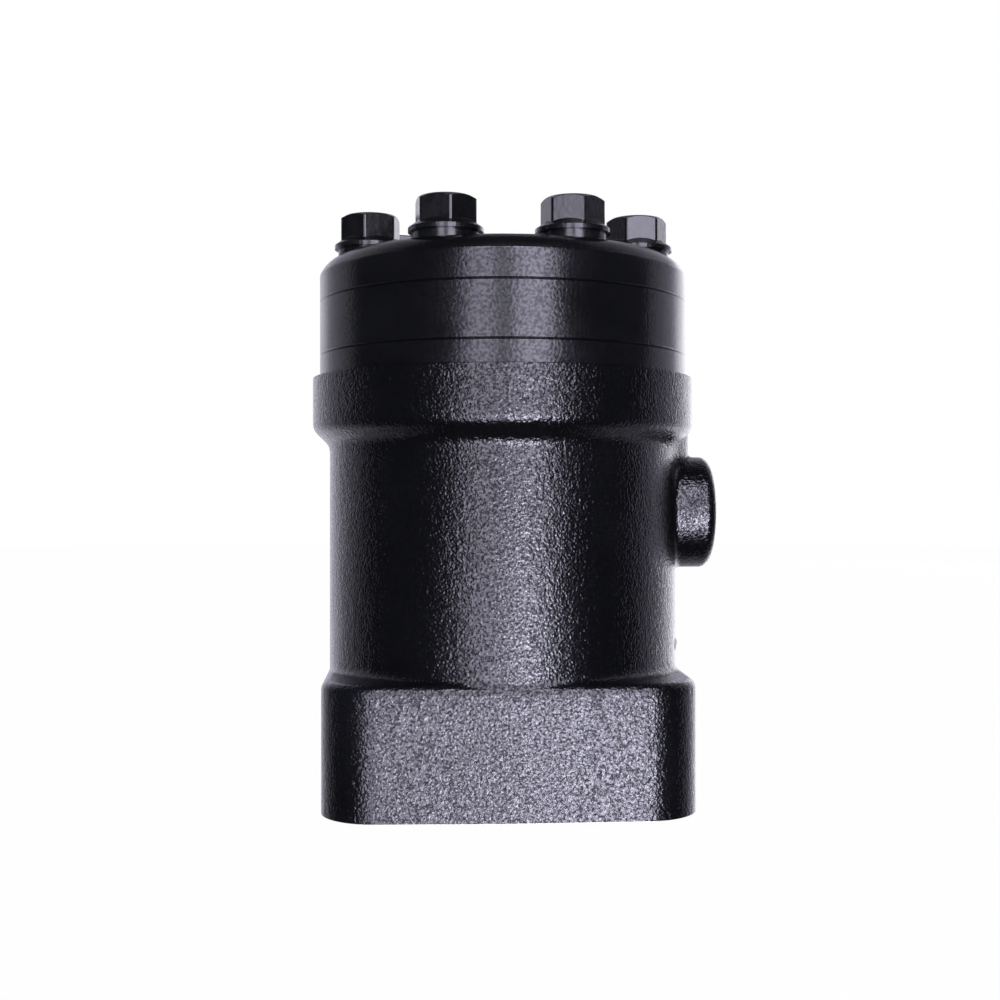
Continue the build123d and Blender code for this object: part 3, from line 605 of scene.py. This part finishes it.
def soften_screws(name, node):
    """A copy of a node of screws with the edges of their heads rounded by paint."""
    shape = bmesh.new()
    shape.from_mesh(frame["nodes"][node].data)
    bmesh.ops.remove_doubles(shape, verts=shape.verts, dist=SAME_POINT_MM * MM)
    bmesh.ops.dissolve_limit(
        shape, angle_limit=FLAT_ANGLE, verts=shape.verts, edges=shape.edges, delimit=set()
    )
    for offset, upright in ((HEX_EDGE_MM, True), (RIM_EDGE_MM, False)):
        bmesh.ops.bevel(
            shape,
            geom=head_edges(shape, upright),
            offset=offset * MM,
            segments=3,
            profile=0.5,
            affect="EDGES",
            clamp_overlap=True,
            material=-1,
        )
    softened = piece(name, shape, finishes["painted_screws"], "housing")
    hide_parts(node)


soften_screws("cover_screws_softened", "cover_screws")
soften_screws("check_valve_screw_softened", "check_valve_screw")

# %% [markdown]
# ## What the mould leaves
# The two halves of the mould meet near the plane of the boss, and where the sand crumbled there
# the iron keeps a small lump on the side of the body. The web between the collar and the boss is
# one smooth saddle in the pattern, so a skin with a rounded section closes its two inner corners.
# Both are patches of a grid whose points are laid on a curved surface by their share across and
# up. A remesh of the whole housing could blend them in, but would blur its machined edges.

# %% A patch of casting skin
BEHIND_SKIN = 0.96


def cast_skin(name, rows, columns, point_at):
    """A closed patch of casting skin: a grid of points, with a fan to one point as its back."""
    shape = bmesh.new()
    bmesh.ops.create_grid(shape, x_segments=columns, y_segments=rows, size=1.0)
    for vert in shape.verts:
        vert.co = Vector(point_at(vert.co.x, vert.co.y)) * MM
    rim = [edge for edge in shape.edges if edge.is_boundary]
    ring = bmesh.ops.extrude_edge_only(shape, edges=rim)["geom"]
    inner = [item for item in ring if isinstance(item, bmesh.types.BMVert)]
    middle = sum((vert.co for vert in inner), Vector()) / len(inner)
    bmesh.ops.pointmerge(shape, verts=inner, merge_co=middle * BEHIND_SKIN)
    bmesh.ops.recalc_face_normals(shape, faces=shape.faces)
    made = piece(name, shape, finishes["painted_casting"], "housing")
    for polygon in made.data.polygons:
        polygon.use_smooth = True


# %% Lump of iron near the parting line
BODY_MM = 42.6
LUMP_TURN, LUMP_HALF_TURN = radians(-10.1), 0.075
LUMP_Z_MM, LUMP_HALF_HEIGHT_MM = 35.2, 2.0
LUMP_SUNK_MM, LUMP_RISE_MM = 0.1, 0.55


def lump(across, up):
    """A point of the lump, in millimetres, by its share across and up, each from -1 to 1."""
    swell = max(0.0, 1 - across * across - up * up)
    unevenness = 1 + 0.2 * sin(5 * up + 3 * across)
    turn = LUMP_TURN + across * LUMP_HALF_TURN
    reach = BODY_MM - LUMP_SUNK_MM + LUMP_RISE_MM * swell * unevenness
    return reach * cos(turn), reach * sin(turn), LUMP_Z_MM + LUMP_HALF_HEIGHT_MM * up


cast_skin("mould_lump", 10, 10, lump)

# %% Saddle between collar and boss
SADDLE_FOOT_MM, SADDLE_TOP_MM = 75.6, 88.4
SADDLE_FOOT_TURN, SADDLE_TOP_TURN = radians(18), radians(35)
SADDLE_SUNK_MM, SADDLE_RISE_MM = 0.05, 3.8


def saddle(across, up):
    """A point of the saddle, in millimetres, by its share across and up, each from -1 to 1."""
    share = (up + 1) / 2
    z = SADDLE_FOOT_MM + (SADDLE_TOP_MM - SADDLE_FOOT_MM) * share
    turn = across * (SADDLE_FOOT_TURN + (SADDLE_TOP_TURN - SADDLE_FOOT_TURN) * share)
    reach = BODY_MM - SADDLE_SUNK_MM + SADDLE_RISE_MM * cos(pi / 2 * across) ** 4
    return reach * cos(turn), reach * sin(turn), z


cast_skin("web_saddle", 16, 32, saddle)

# %% [markdown]
# ## Light
# Black gloss shows its lights more than its colour, so each band on it is the reflection of a
# lamp. Two columns of area lamps behind the camera, with a narrow dim one between them, draw the
# two bright bands down the round body, and the flanks stay dark because nothing bright stands at
# the sides. How high a lamp hangs decides how far up the body it shows, so each column is cut into
# five levels with strengths of their own. Only reflections see these lamps. The paint's own black,
# the bare iron and the shaded sides are lit by two keys and two fills of plain strength that
# reflections don't see. Two lamps at the back serve both.


# %% A softbox
def softbox(name, turn, width, height, centre_z, distance, strength, lights="both"):
    """Area lamp that faces the unit's axis, at a bearing from the camera's side.

    lights is gloss for a lamp that only reflections see, body for one that they don't, or both.
    """
    lamp = bpy.data.lights.new(name, "AREA")
    lamp.shape = "RECTANGLE"
    lamp.size, lamp.size_y = width, height
    # An area lamp of P watts has a radiance of P over pi and its area.
    lamp.energy = strength * pi * width * height
    holder = bpy.data.objects.new(name, lamp)
    bearing = STAND_TURN - turn
    away = Vector((-sin(bearing), -cos(bearing), 0))
    holder.location = away * distance + Vector((0, 0, centre_z))
    holder.rotation_euler = (pi / 2, 0, -bearing)
    holder.visible_glossy = lights != "body"
    holder.visible_diffuse = lights != "gloss"
    bpy.context.scene.collection.objects.link(holder)


def between(low_degrees, high_degrees, distance):
    """Bearing and width of a lamp that fills the span between two bearings."""
    middle = radians((low_degrees + high_degrees) / 2)
    return middle, 2 * distance * tan(radians(high_degrees - low_degrees) / 2)


# %% Columns of lamps for the gloss
# Each level has its foot and top in metres, and then a box on the left, in the middle and on the
# right, as the bearing where it starts, the one where it ends, both in degrees, and its strength.
COLUMN_DISTANCE = 1.0
LEVELS = (
    ("top", 1.0, 1.6, ((-21.5, -3.5, 9.0), (-3.5, 7.0, 2.0), (7.0, 31.0, 14.0))),
    ("high", 0.0, 1.0, ((-21.5, -3.5, 5.4), (-3.5, 7.0, 0.7), (7.0, 30.0, 7.6))),
    ("low", -0.11, 0.0, ((-23.0, -3.5, 11.0), (-3.5, 7.0, 1.5), (7.0, 27.0, 9.0))),
    ("under", -0.45, -0.11, ((-23.0, -3.5, 5.8), (-3.5, 7.0, 2.6), (7.0, 25.0, 29.0))),
    ("table", -0.9, -0.45, ((-20.0, -3.5, 9.0), (-3.5, 7.0, 5.0), (7.0, 27.0, 11.0))),
)
for level, low_z, high_z, boxes in LEVELS:
    height, centre_z = high_z - low_z, (high_z + low_z) / 2
    for side, (from_bearing, to_bearing, strength) in zip(("left", "middle", "right"), boxes):
        turn, width = between(from_bearing, to_bearing, COLUMN_DISTANCE)
        name = f"{side}_{level}"
        softbox(name, turn, width, height, centre_z, COLUMN_DISTANCE, strength, "gloss")

# %% Keys, fills and back lamps
# Name, bearing in degrees, width, height, middle height and distance in metres, strength, and use.
SINGLE_LAMPS = (
    ("key_left", -35, 1.0, 1.0, 0.4, 1.2, 2.4, "body"),
    ("key_right", 30, 1.0, 1.0, 0.4, 1.2, 2.4, "body"),
    ("fill_left", -100, 0.8, 1.0, 0.5, 1.2, 1.2, "body"),
    ("fill_right", 100, 0.8, 1.0, 0.5, 1.2, 1.2, "body"),
    ("rear_left", -152, 0.6, 1.3, -0.05, 1.3, 0.45, "both"),
    ("rear_right", 150, 0.7, 1.3, -0.05, 1.3, 1.4, "both"),
)
for name, bearing_degrees, *measures in SINGLE_LAMPS:
    softbox(name, radians(bearing_degrees), *measures)
print("lamps", 3 * len(LEVELS) + len(SINGLE_LAMPS))

# %% [markdown]
# ## The room
# The unit stands in a white room, but a black part in a white room turns grey. So the world looks
# white to the camera only: reflections find a dark room in it, and the shade gets a dim grey
# light. One node, Light Path, tells these kinds of rays apart. The floor is a white card lifted
# nearly to plain white for the camera. It throws no shadow and isn't seen in reflections, so the
# lamps below it still reach the unit. A curved white wall behind the unit shows at grazing angles
# only, as a pale rim along both silhouettes. It is brightest right behind the unit and dim towards
# its ends, its top and its foot, so that the rims don't end in a hard line.

# %% World
world = bpy.data.worlds.new("studio")
bpy.context.scene.world = world
world.use_nodes = True
world_tree = world.node_tree
world_tree.nodes.clear()
rays = add_node(world_tree, "ShaderNodeLightPath")
room_light = add_node(world_tree, "ShaderNodeBackground", Color=colour("C8CAD0"), Strength=0.25)
dark_room = add_node(world_tree, "ShaderNodeBackground", Color=colour("C8CAD0"), Strength=0.05)
white_paper = add_node(world_tree, "ShaderNodeBackground", Color=colour("FFFFFF"), Strength=1.0)
reflected = add_node(
    world_tree,
    "ShaderNodeMixShader",
    {0: rays.outputs["Is Glossy Ray"], 1: room_light.outputs[0], 2: dark_room.outputs[0]},
)
seen = add_node(
    world_tree,
    "ShaderNodeMixShader",
    {0: rays.outputs["Is Camera Ray"], 1: reflected.outputs[0], 2: white_paper.outputs[0]},
)
add_node(world_tree, "ShaderNodeOutputWorld", {"Surface": seen.outputs[0]})


# %% Cards of the studio
def stage_piece(name, shape, material):
    """Makes an object of the studio from a bmesh."""
    mesh = bpy.data.meshes.new(name)
    shape.to_mesh(mesh)
    shape.free()
    mesh.materials.append(material)
    card = bpy.data.objects.new(name, mesh)
    bpy.context.scene.collection.objects.link(card)
    return card


# %% White that the camera and reflections see differently
def white_stage(name, lift, gloss_lift=None, tint="FFFFFF"):
    """White card, lifted towards plain white for the camera and by gloss_lift for reflections."""
    material, tree, shader, place = new_material(name)
    shader.inputs["Base Color"].default_value = colour("F4F4F4")
    shader.inputs["Roughness"].default_value = 0.9
    shader.inputs["Specular IOR Level"].default_value = 0.0
    path = add_node(tree, "ShaderNodeLightPath")
    for_camera = calculate(tree, "MULTIPLY", path.outputs["Is Camera Ray"], lift)
    in_gloss = gloss_lift(tree, place) if gloss_lift else 0.0
    for_gloss = calculate(tree, "MULTIPLY", path.outputs["Is Glossy Ray"], in_gloss)
    share = calculate(tree, "MAXIMUM", for_camera, for_gloss)
    glow = add_node(tree, "ShaderNodeEmission", Strength=1.0)
    hue = blend_colours(tree, path.outputs["Is Glossy Ray"], "FFFFFF", tint)
    tree.links.new(hue, glow.inputs["Color"])
    sources = {0: share, 1: shader.outputs[0], 2: glow.outputs[0]}
    both = add_node(tree, "ShaderNodeMixShader", sources)
    output = next(n for n in tree.nodes if n.type == "OUTPUT_MATERIAL")
    tree.links.new(both.outputs[0], output.inputs["Surface"])
    return material


# %% Floor
FLOOR_RADIUS, BELOW_UNIT_MM = 1.9, 0.2
FLOOR_LIFT = 0.985

floor_shape = bmesh.new()
bmesh.ops.create_circle(floor_shape, cap_ends=True, segments=96, radius=FLOOR_RADIUS)
bmesh.ops.translate(floor_shape, vec=(0, 0, -BELOW_UNIT_MM * MM), verts=floor_shape.verts)
floor = stage_piece("floor", floor_shape, white_stage("white_floor", FLOOR_LIFT))
floor.visible_glossy = False
floor.visible_shadow = False

# %% How the wall shows in the gloss
# Radius and height of the wall's foot, bend and top in metres, and the bearings where it starts,
# ends and is brightest.
WALL_RADIUS = 1.9
WALL_PROFILE = ((0.7, -1.6), (WALL_RADIUS, -0.9), (WALL_RADIUS, 3.5))
WALL_FROM, WALL_TO, WALL_MIDDLE = radians(100), radians(256), radians(173)
DIM_END, DIM_TOP, DIM_FOOT = 0.04, 0.15, 0.35


def wall_in_gloss(tree, place):
    """How bright the wall is in a reflection: full in its middle, dim at its ends, top and foot."""
    split = add_node(tree, "ShaderNodeSeparateXYZ", {"Vector": place})
    x, y, z = split.outputs
    across = calculate(tree, "MULTIPLY", x, -sin(STAND_TURN - WALL_MIDDLE) / WALL_RADIUS)
    behind = calculate(tree, "MULTIPLY", y, -cos(STAND_TURN - WALL_MIDDLE) / WALL_RADIUS)
    towards_middle = fade(tree, calculate(tree, "ADD", across, behind), 0.24, 0.7, DIM_END, 1.0)
    towards_top = fade(tree, z, 0.8, 1.9, 1.0, DIM_TOP)
    towards_foot = fade(tree, z, -1.4, -0.5, DIM_FOOT, 1.0)
    by_height = calculate(tree, "MULTIPLY", towards_top, towards_foot)
    return calculate(tree, "MULTIPLY", towards_middle, by_height)


# %% Wall
WALL_TINT = "DAD6EA"

wall_shape = bmesh.new()
start_x, start_y = -sin(STAND_TURN - WALL_FROM), -cos(STAND_TURN - WALL_FROM)
profile = [
    wall_shape.verts.new((start_x * radius, start_y * radius, z)) for radius, z in WALL_PROFILE
]
runs = [wall_shape.edges.new(pair) for pair in zip(profile, profile[1:])]
bmesh.ops.spin(
    wall_shape,
    geom=profile + runs,
    axis=(0, 0, 1),
    cent=(0, 0, 0),
    angle=WALL_TO - WALL_FROM,
    steps=48,
)
stage_piece("wall", wall_shape, white_stage("white_wall", 1.0, wall_in_gloss, WALL_TINT))
